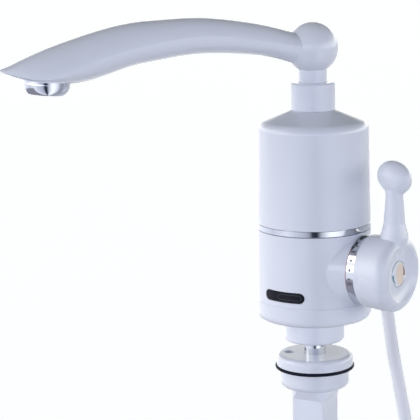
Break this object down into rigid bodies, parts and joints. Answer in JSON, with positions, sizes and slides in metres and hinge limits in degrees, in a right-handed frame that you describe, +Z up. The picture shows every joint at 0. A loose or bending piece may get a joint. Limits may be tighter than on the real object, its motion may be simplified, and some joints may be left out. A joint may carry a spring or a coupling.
{
  "type": "electric instant heating tap",
  "caption": "Deck-mounted tap that heats cold water inside its body: swivelling spout, side lever for hot, off and cold, small display, cord with plug.",
  "frame": {"origin": "centre of the sink seal's underside, where the tap stands on the sink deck", "axes": "+Z up along the body, -Y to the front with the display, +X to the side with the lever"},
  "size_m": [0.1751, 0.268, 0.4946],
  "materials": {
    "white_plastic": "smooth gloss moulding, faintly lavender white",
    "chrome": "bright plating",
    "brass": "machined",
    "steel": "satin",
    "black_rubber": "matt",
    "ceramic": "lapped alumina",
    "dark_plastic": "fine texture",
    "cap_plastic": "gloss, warm and cool halves",
    "window_black": "polished black",
    "circuit_board": "solder mask",
    "insert_plastic": "smooth moulding",
    "cord_rubber": "smooth pale sheath"
  },
  "bodies": {
    "body": {"deck_seal": "black_rubber", "deck_flange": "white_plastic", "fixing_nut": "white_plastic", "inlet_tube": "chrome", "tube_nut": "brass", "inlet_nipple": "brass", "inlet_strainer": "steel", "lower_body": "white_plastic", "bottom_cover": "white_plastic", "housing_screws": "steel", "chrome_trim_ring": "chrome", "upper_cover": "white_plastic", "heating_chamber": "steel", "chamber_base": "steel", "chamber_seal": "black_rubber", "chamber_screws": "steel", "heating_element": "steel", "thermal_cutout": "dark_plastic", "spout_nut": "white_plastic", "valve_body": "brass", "fixed_disc": "ceramic", "valve_bonnet": "brass", "valve_nut": "brass", "flow_diaphragm": "black_rubber", "flow_switch_cap": "dark_plastic", "micro_switch": "dark_plastic", "dial_ring": "chrome", "display_window": "window_black", "display_board": "circuit_board", "terminal_block": "dark_plastic", "strain_relief": "cord_rubber", "cord_tail": "cord_rubber", "cord_clamp": "dark_plastic", "power_cord": "cord_rubber", "cord_hank": "cord_rubber", "cord_tie": "dark_plastic", "plug": "cord_rubber"},
    "spout": {"spout": "white_plastic", "stem_seals": "black_rubber", "aerator_housing": "chrome", "aerator_insert": "insert_plastic", "aerator_washer": "black_rubber"},
    "handle": {"handle": "white_plastic", "handle_cap": "cap_plastic", "handle_screw": "steel", "spindle": "brass", "moving_disc": "ceramic", "spindle_seal": "black_rubber"},
    "flow_plunger": {"flow_plunger": "dark_plastic"}
  },
  "joints": [
    {"name": "spout_swivel", "type": "hinge", "parent": "body", "child": "spout", "pos_m": [0, 0, 0.16], "axis": [0, 0, 1], "continuous": true},
    {"name": "handle_turn", "type": "hinge", "parent": "body", "child": "handle", "pos_m": [0.04, 0, 0.0625], "axis": [1, 0, 0], "range_deg": [-90, 90]},
    {"name": "flow_plunger_slide", "type": "slide", "parent": "body", "child": "flow_plunger", "axis": [-1, 0, 0], "range_m": [0, 0.0015], "stiffness_N_per_m": 300}
  ]
}
